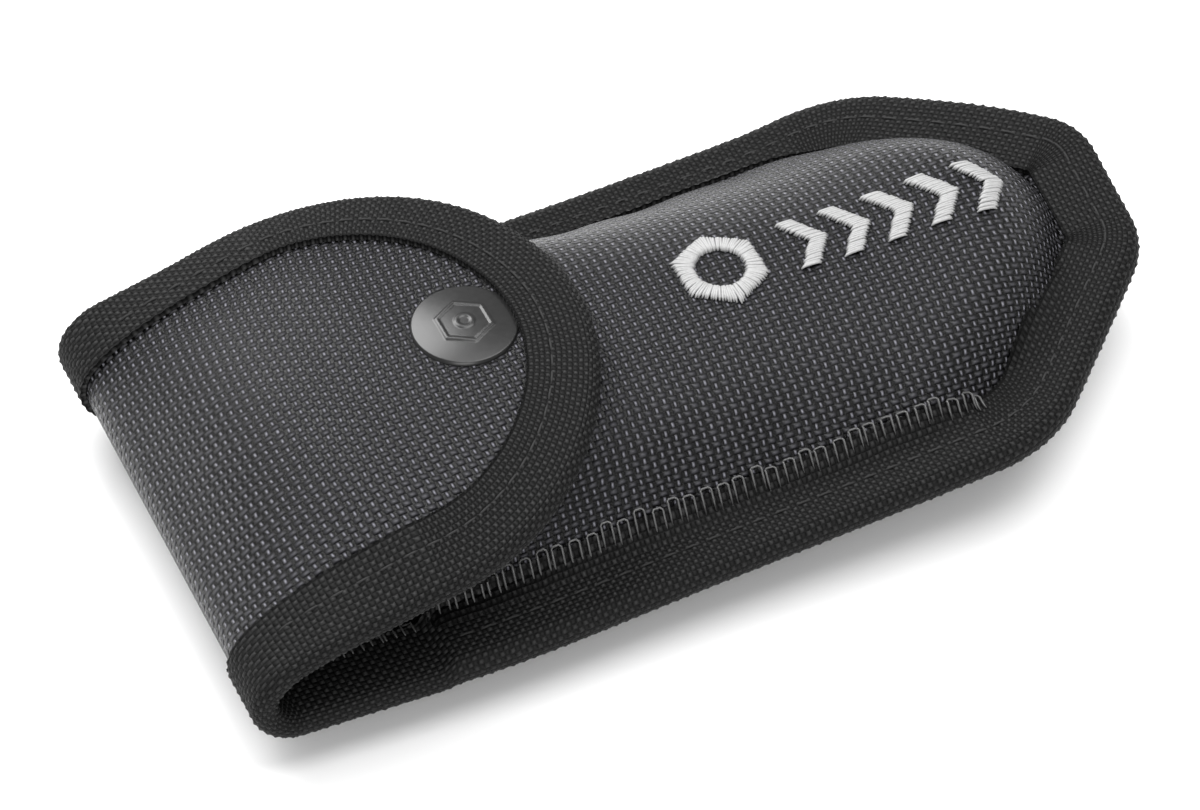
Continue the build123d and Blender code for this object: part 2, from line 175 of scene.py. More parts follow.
# The embroidered mark
HEXAGON_HOLE = 3.5
HEXAGON_STRANDS = 96
CHEVRONS = 5
CHEVRON_PITCH = 6.6
CHEVRON_HALF = 4.5
CHEVRON_STROKE = 3.0
CHEVRON_NOSE = CHEVRON_HALF * 0.7
STRAND_PITCH = 0.36
STRAND_STRAY = 0.12

# How the sewn sheath lies, away from its plain CAD shape
CURL = (2.6, 1.4, 4.4)  # move of the tip's far corner
TIP_REACH = 1.3
SIDE_SAG = 1.2
FLAP_LIFT = 1.6

# The camera
AZIMUTH = math.radians(-24.35)
ELEVATION = math.radians(46.5)
CAMERA_DISTANCE = 0.8  # metres
CAMERA_LENS = 170.6

FLAP_ARC = FOLD_R * math.pi / 4  # along the fold, from its middle to the flap's own surface
FLAP_START_X = FOLD_X - FOLD_R / math.sqrt(2)
BACK_ARC = FOLD_R * math.pi / 2


# ---------------------------------------------------------------- surfaces


def ease(t):
    """A smooth step from 0 to 1."""
    t = np.clip(t, 0, 1)
    return t * t * (3 - 2 * t)


def ramp(value, start, run):
    """A smooth step from 0 at start to 1 a run further on."""
    return ease((value - start) / run)


def bow(x):
    """How far the back panel has risen at x."""
    return np.maximum(0, x - BOW_X) ** 2 / (2 * BOW_RADIUS)


def back_surface(s, y):
    """Outer face of the back panel: s runs from the fold towards the tip, and below 0 round the fold."""
    angle = math.radians(270) + np.minimum(s, 0) / FOLD_R
    x = FOLD_X + FOLD_R * np.cos(angle) + np.maximum(s, 0)
    z = FOLD_Z + FOLD_R * np.sin(angle) + bow(x)
    return np.stack([x, y + 0 * x, z], -1)


def flap_surface(a, y):
    """Outer face of the flap: a runs from the middle of the fold to the flap's end.

    The cloth dips round the snap and has a low wrinkle past the fold.
    """
    angle = math.pi - np.minimum(a, FLAP_ARC) / FOLD_R
    run = np.maximum(0, a - FLAP_ARC)
    x = FOLD_X + FOLD_R * np.cos(angle) + run
    crown = 1 - (y / HALF_WIDTH) ** 2
    edge = sum(up * np.tanh(run / length) for up, length in FLAP_EDGE_RISE)
    middle = sum(up * np.tanh(run / length) for up, length in FLAP_MIDDLE_RISE)
    z = FOLD_Z + FOLD_R * np.sin(angle) + edge * (1 - crown) + middle * crown
    away = np.hypot(x - SNAP_X, y) / 13.0
    dip = 0.5 * np.exp(-away**2)
    wrinkle = 0.35 * np.sin(x / 5.5 + y / 9.0) * np.exp(-((x + 48) / 9) ** 2)
    z = z - dip + wrinkle
    return np.stack([x, y + 0 * x, z], -1)


def dome_height(x, y):
    """Height of the front panel's dome."""
    powers = SECTION_POWERS[0] + (SECTION_POWERS[1] - SECTION_POWERS[0]) * ease(
        (x - SECTION_X[0]) / (SECTION_X[1] - SECTION_X[0]))
    side = (np.abs(y) / DOME_HALF_WIDTH) ** powers
    end = (np.maximum(0, x - DOME_END[0]) / (DOME_END[1] - DOME_END[0])) ** DOME_END_POWER
    diagonal = x + np.hypot(y, DOME_CORNER_ROUND)
    corner_run = DOME_CORNER[1] - DOME_CORNER[0]
    corner = (np.maximum(0, diagonal - DOME_CORNER[0]) / corner_run) ** DOME_CORNER_POWER
    share = np.maximum(-0.6, 1 - side - end - corner)
    seam = SEAM_Z + bow(x)
    return seam + (RIDGE_Z - seam) * share


def front_surface(x, y):
    """Outer face of the front panel, flange and dome together, with ripples on the dome."""
    flange = BACK_Z + FLANGE_TOP + bow(x)
    dome = dome_height(x, y)
    ripple = 0.22 * np.sin(x / 2.3) * np.exp(-(((np.abs(y) - 24) / 3) ** 2))
    ripple = ripple + 0.25 * np.sin(x / 9 + 1) * np.cos(y / 8)
    soft = 0.8
    z = (dome + flange + np.sqrt((dome - flange) ** 2 + soft**2)) / 2
    return np.stack([x + 0 * z, y + 0 * z, z + ripple * ease((dome - flange) / 4)], -1)


def normals(surface, s, y):
    """Unit normals of a surface, by central differences."""
    step = 0.05
    along = surface(s + step, y) - surface(s - step, y)
    across = surface(s, y + step) - surface(s, y - step)
    normal = np.cross(along, across)
    return normal / np.linalg.norm(normal, axis=-1, keepdims=True)


def run_along(surface, s, y, start):
    """Length along the surface from start to s."""
    steps = 60
    total = 0
    last = surface(start + 0 * s, y)
    for i in range(1, steps + 1):
        point = surface(start + (s - start) * i / steps, y)
        total = total + np.linalg.norm(point - last, axis=-1)
        last = point
    return total


def run_across(surface, s, y):
    """Signed length across the surface from its middle line to y."""
    steps = 30
    total = 0
    last = surface(s, 0 * y)
    for i in range(1, steps + 1):
        point = surface(s, y * i / steps)
        total = total + np.linalg.norm(point - last, axis=-1)
        last = point
    return total * np.sign(y)


def settle(points):
    """Where the sheath's points really lie.

    The far corner of the tip curls up, both ends reach out a little, the near side sags outwards
    beside the flap, and the flap's far edge lifts.
    """
    x, y, z = points[:, 0], points[:, 1], points[:, 2]
    curl = ramp(x, 30, 42) * ramp(y, -24, 55)
    tip = ramp(x, 35, 37) - 0.6 * ramp(-x, 52, 14)
    sag = np.exp(-(((x + 38) / 24) ** 2)) * ramp(-y, 14, 20)
    lift = ramp(x, FOLD_X, 30) * ramp(y, 8, 26) * ramp(z, 16, 6) * ramp(-x, 0, 12)
    move_x = CURL[0] * curl + TIP_REACH * tip
    move_y = CURL[1] * curl - SIDE_SAG * sag
    move_z = CURL[2] * curl + FLAP_LIFT * lift
    return points + np.stack([move_x, move_y, move_z], -1)


# ---------------------------------------------------------------- outlines


def rounded(points, radii, step):
    """Evenly spaced points along a run of lines whose inner corners are arcs."""
    points = [np.array(p, float) for p in points]
    pieces = []
    start = points[0]
    for before, corner, after, radius in zip(points, points[1:], points[2:], radii):
        one = (before - corner) / np.linalg.norm(before - corner)
        two = (after - corner) / np.linalg.norm(after - corner)
        half = math.acos(np.clip(one @ two, -1, 1)) / 2
        reach = radius / math.tan(half)
        centre = corner + (one + two) / np.linalg.norm(one + two) * radius / math.sin(half)
        first, last = corner + one * reach, corner + two * reach
        pieces.append(np.linspace(start, first, 60))
        a, b = (math.atan2(*(p - centre)[::-1]) for p in (first, last))
        b += round((a - b) / math.tau) * math.tau
        turn = np.linspace(a, b, 60)
        pieces.append(centre + radius * np.stack([np.cos(turn), np.sin(turn)], -1))
        start = last
    pieces.append(np.linspace(start, points[-1], 60))
    return evenly(np.concatenate(pieces), step)


def evenly(line, step):
    """The same line with points a step apart."""
    gaps = np.linalg.norm(np.diff(line, axis=0), axis=1)
    reach = np.concatenate([[0], np.cumsum(gaps)])
    count = max(2, round(reach[-1] / step)) + 1
    places = np.linspace(0, reach[-1], count)
    return np.stack([np.interp(places, reach, line[:, k]) for k in (0, 1)], -1)


def left_of(line):
    """Unit normals to the left of a line."""
    way = np.gradient(line, axis=0)
    way /= np.linalg.norm(way, axis=1, keepdims=True)
    return np.stack([-way[:, 1], way[:, 0]], -1)


def sheath_outline(step):
    """The rim of the sheath in (s, y), from the middle of the fold along the near side and round the tip."""
    shoulder = CORNER_SUM - SHOULDER_HALF - FOLD_X
    near = [(-BACK_ARC, -HALF_WIDTH), (0, -HALF_WIDTH), (shoulder, -SHOULDER_HALF),
            (TIP_X - FOLD_X, TIP_X - CORNER_SUM)]
    far = [(s, -y) for s, y in reversed(near)]
    fold_radius = 60  # the sides turn very little there
    radii = [fold_radius, SHOULDER_RADIUS, TIP_RADIUS]
    radii += radii[::-1]
    return rounded(near + far, radii, step)


def flap_outline(step):
    """The rim of the flap in (a, y), from the middle of the fold round its end."""
    centre = FLAP_ARC + FLAP_END_X - FLAP_RADIUS - FLAP_START_X
    turn = np.linspace(-math.pi / 2, math.pi / 2, 200)
    arc = np.stack([centre + FLAP_RADIUS * np.cos(turn), FLAP_RADIUS * np.sin(turn)], -1)
    start = np.linspace((0, -HALF_WIDTH), arc[0], 60)
    return evenly(np.concatenate([start, arc[1:-1], start[::-1] * (1, -1)]), step)


def half_widths(outline, inset):
    """A function from the first coordinate to half the width inside an outline."""
    line = outline + left_of(outline) * inset
    far = line[len(line) // 2:][::-1]
    return lambda s: np.interp(s, far[:, 0], far[:, 1])


# ---------------------------------------------------------------- meshes


def make_mesh(name, points, faces, body, slot, weave=None):
    """A mesh piece from millimetre points. It rides on a body, or on none if body is empty."""
    mesh = bpy.data.meshes.new(name)
    mesh.from_pydata((settle(np.asarray(points, float)) * MM).tolist(), [], faces)
    if weave is not None:
        attribute = mesh.attributes.new("weave", "FLOAT_VECTOR", "POINT")
        flat = np.zeros((len(points), 3), np.float32)
        flat[:, :2] = weave
        attribute.data.foreach_set("vector", flat.ravel())
    mesh.update()
    mesh.validate()
    mesh.shade_smooth()
    piece = bpy.data.objects.new(name, mesh)
    bpy.context.scene.collection.objects.link(piece)
    if body:
        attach(piece, body)
    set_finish(piece, slot)
    return piece


def grid_faces(rows, columns, first=0, flip=False):
    """Quads of a grid whose points are numbered row by row."""
    i, j = np.meshgrid(np.arange(rows - 1), np.arange(columns - 1), indexing="ij")
    a = (first + i * columns + j).ravel()
    quads = np.stack([a, a + columns, a + columns + 1, a + 1], -1)
    return (quads[:, ::-1] if flip else quads).tolist()


def rim_faces(rows, columns):
    """Quads that join the borders of two like grids, the second numbered after the first."""
    other = rows * columns
    around = [(0, j) for j in range(columns)]
    around += [(i, columns - 1) for i in range(1, rows)]
    around += [(rows - 1, j) for j in range(columns - 2, -1, -1)]
    around += [(i, 0) for i in range(rows - 2, 0, -1)]
    index = [i * columns + j for i, j in around]
    return [[a, b, b + other, a + other] for a, b in zip(index, index[1:] + index[:1])]


def layer(name, surface, stations, half_width, depths, body, slot, count=121, rest=None):
    """A closed sheet between two depths under a surface. None of its points goes below rest, if given."""
    s = np.repeat(stations[:, None], count, 1)
    y = half_width(stations)[:, None] * np.linspace(-1, 1, count)[None, :]
    base, normal = surface(s, y), normals(surface, s, y)
    grids = [base - normal * depth for depth in depths]
    if rest is not None:
        floor = rest(s)
        floors = [floor[..., None] + GAP * (1 - k) for k in (0, 1)]
        grids = [np.concatenate([g[..., :2], np.maximum(g[..., 2:], least)], -1)
                 for g, least in zip(grids, floors)]
    weave = np.stack([run_along(surface, s, y, stations[0]), run_across(surface, s, y)], -1).reshape(-1, 2)
    points = np.concatenate([g.reshape(-1, 3) for g in grids])
    rows = len(stations)
    faces = grid_faces(rows, count) + grid_faces(rows, count, rows * count, True) + rim_faces(rows, count)
    return make_mesh(name, points, faces, body, slot, np.concatenate([weave, weave]))


def tape(name, outline, surface, sense, high, body):
    """Binding tape folded over a rim: one leg on the surface's outer face, one on high(s, y) inside.

    sense is 1 where the surface's normals point into the sheath, and -1 where they point out.
    """
    flip = sense < 0
    inward = left_of(outline)
    stations = len(outline)
    rows = 2 * ROWS_LEG + ROWS_RIM
    columns = 2 * rows + 1
    place = np.arange(columns) / 2
    on_leg = np.clip(1 - place / ROWS_LEG, 0, 1) + np.clip(1 - (rows - place) / ROWS_LEG, 0, 1)
    turn = math.pi * np.clip((place - ROWS_LEG) / ROWS_RIM, 0, 1)
    rim_s, rim_y = outline[:, :1] + 0 * turn, outline[:, 1:] + 0 * turn
    thickness = high(rim_s, rim_y)
    radius = thickness / 2 + TAPE
    round_rim = radius * (1 - np.sin(turn)) * (on_leg == 0)
    inset = round_rim + (on_leg > 0) * (radius + (TAPE_LEG - radius) * on_leg)
    s = rim_s + inward[:, :1] * inset
    y = rim_y + inward[:, 1:] * inset
    inside = (place > rows / 2)[None, :]
    top = np.where(inside, high(s, y), thickness)
    depth = np.where(on_leg > 0, np.where(inside, top + TAPE, -TAPE), thickness / 2 - radius * np.cos(turn))
    out_inset = -np.sin(turn) * (on_leg == 0)
    out_depth = np.where(on_leg > 0, np.where(inside, 1.0, -1.0), -np.cos(turn))
    row = np.arange(columns) // 2
    valley = np.where(np.arange(columns) % 2 == 0, 1.0, VALLEY)
    phase = math.tau * np.arange(stations)[:, None] / KNOB_STEPS + math.pi * row[None, :]
    knob = KNOB_HEIGHT * (0.5 + 0.5 * np.cos(phase)) * valley * (0.8 + 0.4 * rng.random((stations, columns)))
    normal = normals(surface, s, y) * sense

    def at(lift):
        moved_s = s + inward[:, :1] * out_inset * lift
        moved_y = y + inward[:, 1:] * out_inset * lift
        return surface(moved_s, moved_y) + normal * (depth + out_depth * lift)[..., None]

    outer = at(knob)
    under = [0, ROWS_LEG, 2 * ROWS_LEG, rows, 2 * (rows - ROWS_LEG), 2 * rows - ROWS_LEG, 2 * rows]
    inner = at(-0.9 * TAPE + 0 * knob)[:, under]
    points = np.concatenate([outer.reshape(-1, 3), inner.reshape(-1, 3)])
    more, few = stations * columns, len(under)
    faces = grid_faces(stations, columns, 0, flip) + grid_faces(stations, few, more, not flip)
    for k in range(stations - 1):
        a, b = k * columns, (k + 1) * columns
        c, d = more + k * few, more + (k + 1) * few
        sides = [[a, b, d, c], [b + columns - 1, a + columns - 1, c + few - 1, d + few - 1]]
        faces += [side[::-1] if flip else side for side in sides]
    for k in (0, stations - 1):
        ring = list(range(k * columns, (k + 1) * columns))
        ring += list(range(more + (k + 1) * few - 1, more + k * few - 1, -1))
        faces.append(ring[::-1] if (k == 0) == flip else ring)
    along = (np.arange(stations)[:, None] / KNOB_STEPS + 0.25) * KNOB + 0 * place
    across = (place[None, :] + 0.5) * TAPE_LEG / ROWS_LEG + 0 * along
    weave = np.stack([along, across], -1)
    weave = np.concatenate([weave.reshape(-1, 2), weave[:, under].reshape(-1, 2)])
    return make_mesh(name, points, faces, body, "tape", weave)


def threads(name, paths, radius, body, slot):
    """Round threads along short runs of points, each closed at its ends."""
    points, faces = [], []
    sides = THREAD_SIDES
    for path in paths:
        path = np.asarray(path, float)
        way = np.gradient(path, axis=0)
        way /= np.linalg.norm(way, axis=1, keepdims=True)
        side = np.cross(way, (0.0, 0.0, 1.0))
        side /= np.maximum(np.linalg.norm(side, axis=1, keepdims=True), 1e-6)
        up = np.cross(side, way)
        turn = np.arange(sides) * math.tau / sides
        taper = np.ones(len(path))
        taper[[0, -1]] = THREAD_TAPER
        ring = (np.cos(turn)[None, :, None] * side[:, None] + np.sin(turn)[None, :, None] * up[:, None])
        tube = path[:, None] + ring * (radius * taper)[:, None, None]
        first = len(points)
        points.extend(tube.reshape(-1, 3).tolist())
        for i in range(len(path) - 1):
            for j in range(sides):
                a, b = first + i * sides + j, first + i * sides + (j + 1) % sides
                faces.append([a, b, b + sides, a + sides])
        faces.append([first + j for j in range(sides)][::-1])
        last = first + (len(path) - 1) * sides
        faces.append([last + j for j in range(sides)])
    return make_mesh(name, points, faces, body, slot)


# ---------------------------------------------------------------- materials


YARN_FALL = 3.7  # how fast a yarn falls away to its sides
YARN_DIVE = 2.9  # how fast it dives at the ends of its cell
# The next value sets painted shade: how fast a yarn's colour darkens into the gap's as it dives.
GAP_SHADE_FALL = 1.8  # how fast its colour turns into the gap's as it dives


class Net:
    """A material's node tree, with short ways to add nodes."""

    def __init__(self, name):
        self.material = bpy.data.materials.new(name)
        self.material.use_nodes = True
        self.tree = self.material.node_tree
        self.shader = self.tree.nodes["Principled BSDF"]

    def add(self, kind, **settings):
        """A new node."""
        node = self.tree.nodes.new(kind)
        for key, value in settings.items():
            setattr(node, key, value)
        return node

    def put(self, socket, value):
        """Link a socket to another, or give it a number or colour."""
        if isinstance(value, bpy.types.NodeSocket):
            self.tree.links.new(value, socket)
        else:
            socket.default_value = value

    def math(self, operation, *values):
        """The result of a sum on sockets or numbers."""
        node = self.add("ShaderNodeMath", operation=operation)
        for socket, value in zip(node.inputs, values):
            self.put(socket, value)
        return node.outputs[0]

    def mix(self, share, one, two):
        """A number between one and two."""
        node = self.add("ShaderNodeMix", data_type="FLOAT")
        for socket, value in zip(node.inputs, (share, None, one, two)):
            if value is not None:
                self.put(socket, value)
        return node.outputs[0]

    def blend(self, share, one, two):
        """A colour between one and two."""
        node = self.add("ShaderNodeMix", data_type="RGBA")
        self.put(node.inputs["Factor"], share)
        self.put(node.inputs[6], one)
        self.put(node.inputs[7], two)
        return node.outputs[2]

    def noise(self, vector, scale, detail=2.0):
        """Noise from 0 to 1."""
        node = self.add("ShaderNodeTexNoise")
        self.put(node.inputs["Vector"], vector)
        node.inputs["Scale"].default_value = scale
        node.inputs["Detail"].default_value = detail
        return node.outputs["Fac"]

    def bump(self, height, distance):
        """Bump on the shader, with the distance in metres."""
        node = self.add("ShaderNodeBump")
        node.inputs["Strength"].default_value = 1.0
        node.inputs["Distance"].default_value = distance
        self.put(node.inputs["Height"], height)
        self.tree.links.new(node.outputs[0], self.shader.inputs["Normal"])

    def set(self, **values):
        """Values on the shader's own sockets."""
        for key, value in values.items():
            self.put(self.shader.inputs[key.replace("_", " ")], value)


def grey(value, tint=(1.0, 1.0, 1.0)):
    """A grey, or a tinted one, as a colour socket takes it."""
    return (value * tint[0], value * tint[1], value * tint[2], 1.0)


def woven(name, pitches, gap_shade, warp, weft, roughness, depth, shine, weft_fall=YARN_FALL):
    """Plain weave from the weave attribute: warp runs along the piece and weft across it.

    A weft_fall over YARN_FALL makes the weft thinner. Between the yarns the colour falls to the gap's
    near-black grey, a painted shade.
    """
    net = Net(name)
    coordinate = net.add("ShaderNodeAttribute", attribute_name="weave").outputs["Vector"]
    split = net.add("ShaderNodeSeparateXYZ")
    net.put(split.inputs[0], coordinate)
    wander = net.math("MULTIPLY", net.math("SUBTRACT", net.noise(coordinate, 0.25), 0.5), 0.5)
    cell = []
    for k in (0, 1):
        value = net.math("ADD", net.math("DIVIDE", split.outputs[k], pitches[k]), wander)
        whole = net.math("FLOOR", value)
        cell.append((whole, net.math("SUBTRACT", net.math("SUBTRACT", value, whole), 0.5)))
    over = net.math("FLOORED_MODULO", net.math("ADD", cell[0][0], cell[1][0]), 2.0)
    along = net.mix(over, cell[0][1], cell[1][1])
    across = net.mix(over, cell[1][1], cell[0][1])
    fall = net.math("MULTIPLY", net.math("MULTIPLY", across, across), net.mix(over, YARN_FALL, weft_fall))
    round_yarn = net.math("MAXIMUM", net.math("SUBTRACT", 1.0, fall), 0.0)
    dive = net.math("SUBTRACT", 1.0, net.math("MULTIPLY", net.math("MULTIPLY", along, along), YARN_DIVE))
    height = net.math("MULTIPLY", round_yarn, dive)
    vary = net.noise(coordinate, 0.9, 3.0)
    yarn = net.blend(over, warp, weft)
    # Painted shade: the base colour darkens to the gap's grey where the yarns dive between each other.
    colour = net.blend(net.math("POWER", net.math("MAXIMUM", height, 0.0), GAP_SHADE_FALL), gap_shade, yarn)
    shade = net.blend(vary, grey(0.75), grey(1.2))
    tinted = net.add("ShaderNodeMix", data_type="RGBA", blend_type="MULTIPLY")
    tinted.inputs["Factor"].default_value = 1.0
    net.put(tinted.inputs[6], colour)
    net.put(tinted.inputs[7], shade)
    net.put(net.shader.inputs["Base Color"], tinted.outputs[2])
    net.put(net.shader.inputs["Roughness"], net.mix(over, roughness[0], roughness[1]))
    fibre = net.math("MULTIPLY", net.noise(coordinate, 6.0, 2.0), 0.18)
    net.bump(net.math("ADD", height, fibre), depth * MM)
    net.set(Specular_IOR_Level=shine)
    return net.material


def grained(name, colour, roughness, scale, depth, metallic=0.0, spread=0.25):
    """A fine grain over a colour, from the object's own coordinates."""
    net = Net(name)
    place = net.add("ShaderNodeTexCoord").outputs["Object"]
    grain = net.noise(place, scale, 4.0)
    dark = tuple(c * (1 - spread) for c in colour[:3]) + (1.0,)
    light = tuple(min(1.0, c * (1 + spread)) for c in colour[:3]) + (1.0,)
    net.put(net.shader.inputs["Base Color"], net.blend(grain, dark, light))
    net.put(net.shader.inputs["Roughness"], net.mix(grain, roughness * 0.85, roughness * 1.15))
    net.bump(grain, depth * MM)
    net.set(Metallic=metallic)
    return net.material


def make_materials():
    """Every material, by slot, and the edge loops' own: the black thread made lighter, a painted highlight.
    """
    cool = (0.97, 0.96, 1.1)
    return {
        # On the nylon the weft's light grey, kept thin by a weft fall of 20, is a painted glint along each
        # weft float.
        "nylon": woven("ballistic_nylon", (1.33, 0.86), grey(0.001), grey(0.05, cool), grey(0.21, cool),
                       (0.4, 0.26), 0.5, 0.26, 20.0),
        "tape": woven("binding_tape", (KNOB / 2, TAPE_LEG / ROWS_LEG), grey(0.002), grey(0.026), grey(0.008),
                      (0.5, 0.6), 0.2, 0.15),
        "webbing": woven("belt_webbing", (1.3, 1.3), grey(0.002), grey(0.012), grey(0.025),
                         (0.55, 0.45), 0.3, 0.25),
        "lining": woven("lining_cloth", (0.22, 0.22), grey(0.002), grey(0.005), grey(0.006),
                        (0.6, 0.6), 0.03, 0.15),
        "foam": grained("foam", grey(0.09), 0.8, 900.0, 0.15),
        "board": grained("board", grey(0.05), 0.45, 300.0, 0.05),
        "thread": grained("black_thread", grey(0.008), 0.75, 2500.0, 0.05),
        # The edge loops' thread is the same black thread made much lighter: a painted highlight on loops that
        # sit in shade.
        "loop_thread_painted_highlight": grained("edge_thread_painted_highlight", grey(0.07), 0.25, 2500.0, 0.03),
        "white_thread": grained("white_thread", grey(0.36), 0.45, 2500.0, 0.06, spread=0.2),
        "snap_black": grained("snap_paint", grey(0.009), 0.3, 1500.0, 0.004),
        "snap_metal": grained("snap_metal", grey(0.05), 0.35, 1500.0, 0.01, metallic=0.9),
    }


# ---------------------------------------------------------------- pieces


def fabric_stations():
    """Places along the back panel, closer together round the fold."""
    return np.concatenate([np.linspace(-BACK_ARC, 0, 16)[:-1], np.arange(0, TIP_X - FOLD_X - TAPE, 0.8)])


def back_pieces():
    """The back panel's layers, each with the lower half of the fold."""
    outline = sheath_outline(1.0)
    half = half_widths(outline, TAPE)
    stations = fabric_stations()
    bottom = {
        "back_panel": ((0.0, -SHELL), "nylon", ("back_shell", "fold_shell")),
        "back_lining_cloth": ((-SHELL - CORE, -LAMINATE), "lining", ("back_lining", "fold_lining")),
    }
    pieces = []
    for name, (depths, slot, nodes) in bottom.items():
        piece = layer(name, back_surface, stations, half, depths, None, slot)
        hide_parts(*nodes)
        blend_lower(piece)
        pieces.append(piece)
    inset = TAPE + CORE_INSET
    half = half_widths(outline, inset)
    depths = (-SHELL - GAP, -SHELL - CORE + GAP)
    stations = np.linspace(-BACK_ARC, 2, 24)
    core = layer("fold_core", back_surface, stations, half, depths, None, "foam", 61)
    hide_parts("fold_foam")
    blend_lower(core)
    stations = np.arange(3, TIP_X - FOLD_X - inset, 1.0)
    board = layer("back_board", back_surface, stations, half, depths, "sheath", "board", 61)
    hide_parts("back_stiffener")
    return pieces + [core, board]


def blend_lower(piece):
    """Bake a piece's transform into its mesh; the piece, from the back panel to the middle of the fold, is
    not bent here.
    """
    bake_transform(piece)


def blend_upper(piece):
    """Bake a piece's transform into its mesh; the piece, from the middle of the fold to the flap, is not bent
    here.
    """
    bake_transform(piece)


def flap_pieces():
    """The flap's layers, each with the upper half of the fold."""
    outline = flap_outline(1.0)
    length = outline[:, 0].max()
    layers = {
        "flap_panel": ((0.0, SHELL), TAPE, "nylon", "flap_shell"),
        "flap_core": ((SHELL + GAP, SHELL + CORE - GAP), TAPE + CORE_INSET, "foam", "flap_foam"),
        "flap_lining_cloth": ((SHELL + CORE, LAMINATE), TAPE, "lining", "flap_lining"),
    }
    pieces = []
    for name, (depths, inset, slot, node) in layers.items():
        half = half_widths(outline, inset)
        end = length - inset - 0.02
        last = end - 4 * (1 - np.sin(np.linspace(0, math.pi / 2, 14)))
        stations = np.concatenate([np.arange(0, end - 4, 0.7), last])
        piece = layer(name, flap_surface, stations, half, depths, None, slot)
        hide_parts(node)
        blend_upper(piece)
        pieces.append(piece)
    return pieces


def front_pieces():
    """The front panel's layers."""
    outline = sheath_outline(1.0) + (FOLD_X, 0)
    pieces = []
    layers = {
        "front_panel": ((0.0, SHELL), 3.0, "nylon", "front_shell"),
        "front_core": ((SHELL + GAP, SHELL + CORE - GAP), 9.0, "foam", "front_foam"),
        "front_lining_cloth": ((SHELL + CORE, LAMINATE), 3.0, "lining", "front_lining"),
    }
    for name, (depths, inset, slot, node) in layers.items():
        half = half_widths(outline, inset)
        stations = np.arange(MOUTH_X, TIP_X - inset, 0.8)
        piece = layer(name, front_surface, stations, half, depths, "sheath", slot, count=141,
                      rest=lambda x: BACK_Z + LAMINATE + GAP + bow(x))
        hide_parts(node)
        pieces.append(piece)
    return pieces


def tape_pieces():
    """The three bindings."""
    step = KNOB / KNOB_STEPS

    def over_rim(s, y):
        """Thickness under the edge tape, which takes in the front panel past the mouth."""
        x = FOLD_X + s
        inside = ease((x - MOUTH_X + 1.5) / 3)
        front = front_surface(x, y)[..., 2] - BACK_Z - bow(x)
        return LAMINATE + (front - LAMINATE) * inside

    edge = tape("edge_tape", sheath_outline(step), back_surface, 1, over_rim, None)
    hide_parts("edge_binding", "fold_binding_near", "fold_binding_far")
    blend_lower(edge)

    def laminate(s, y):
        """Thickness under the other two tapes."""
        return LAMINATE + 0 * s

    flap = tape("flap_tape", flap_outline(step), flap_surface, -1, laminate, None)
    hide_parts("flap_binding")
    blend_upper(flap)

    reach = DOME_HALF_WIDTH - 0.6
    line = np.stack([np.full(200, MOUTH_X - TAPE), np.linspace(reach, -reach, 200)], -1)
    mouth = tape("mouth_tape", evenly(line, step), front_surface, -1, laminate, "sheath")
    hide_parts("mouth_binding")
    return [edge, flap, mouth]


def edge_loops():
    """Loops of edge thread along the tape's inner edge, on the near side only."""
    outline = sheath_outline(LOOP_STEP)
    inward = left_of(outline)
    leg = [(LOOP_HALF, inset) for inset in LOOP_LEG] + [(LOOP_HALF * 0.6, LOOP_TOP)]
    shape = [(-along, inset) for along, inset in leg] + leg[::-1]
    paths = []
    spacing = round(LOOP_PITCH / LOOP_STEP)
    for k in range(spacing * 3, len(outline) // 2, spacing):
        x = outline[k, 0] + FOLD_X
        if abs(x - MOUTH_X) < 2 or x > LOOP_LAST_X:
            continue
        jitter = rng.uniform(-0.25, 0.25, 2)
        path = []
        for along, inset in shape:
            n = k + round((along + jitter[0]) / LOOP_STEP)
            place = outline[n] + inward[n] * (inset + jitter[1])
            x = place[0] + FOLD_X
            if x > MOUTH_X:
                point = front_surface(np.array(x), np.array(place[1]))
            else:
                point = back_surface(np.array(place[0]), np.array(place[1])) + (0, 0, LAMINATE)
            lift = 0.4 + (TAPE + KNOB_HEIGHT - 0.3) * (1 - float(ease((inset - LOOP_LEG[2]) / 0.5)))
            path.append(point + (0, 0, lift))
        paths.append(path)
    return threads("edge_thread_loops", paths, LOOP_RADIUS, "sheath", "thread")


def lay_stitches(name, places, body, nodes):
    """Rounded stitches: places are (middle, way, up) in millimetres."""
    paths = []
    for middle, way, up in places:
        t = np.linspace(-1, 1, 6)[:, None]
        paths.append(middle + way * STITCH_HALF * t + up * STITCH_BOW * (1 - t**2) - up * STITCH_BOW)
    piece = threads(name, paths, STITCH_RADIUS, body, "thread")
    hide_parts(*nodes)
    return piece


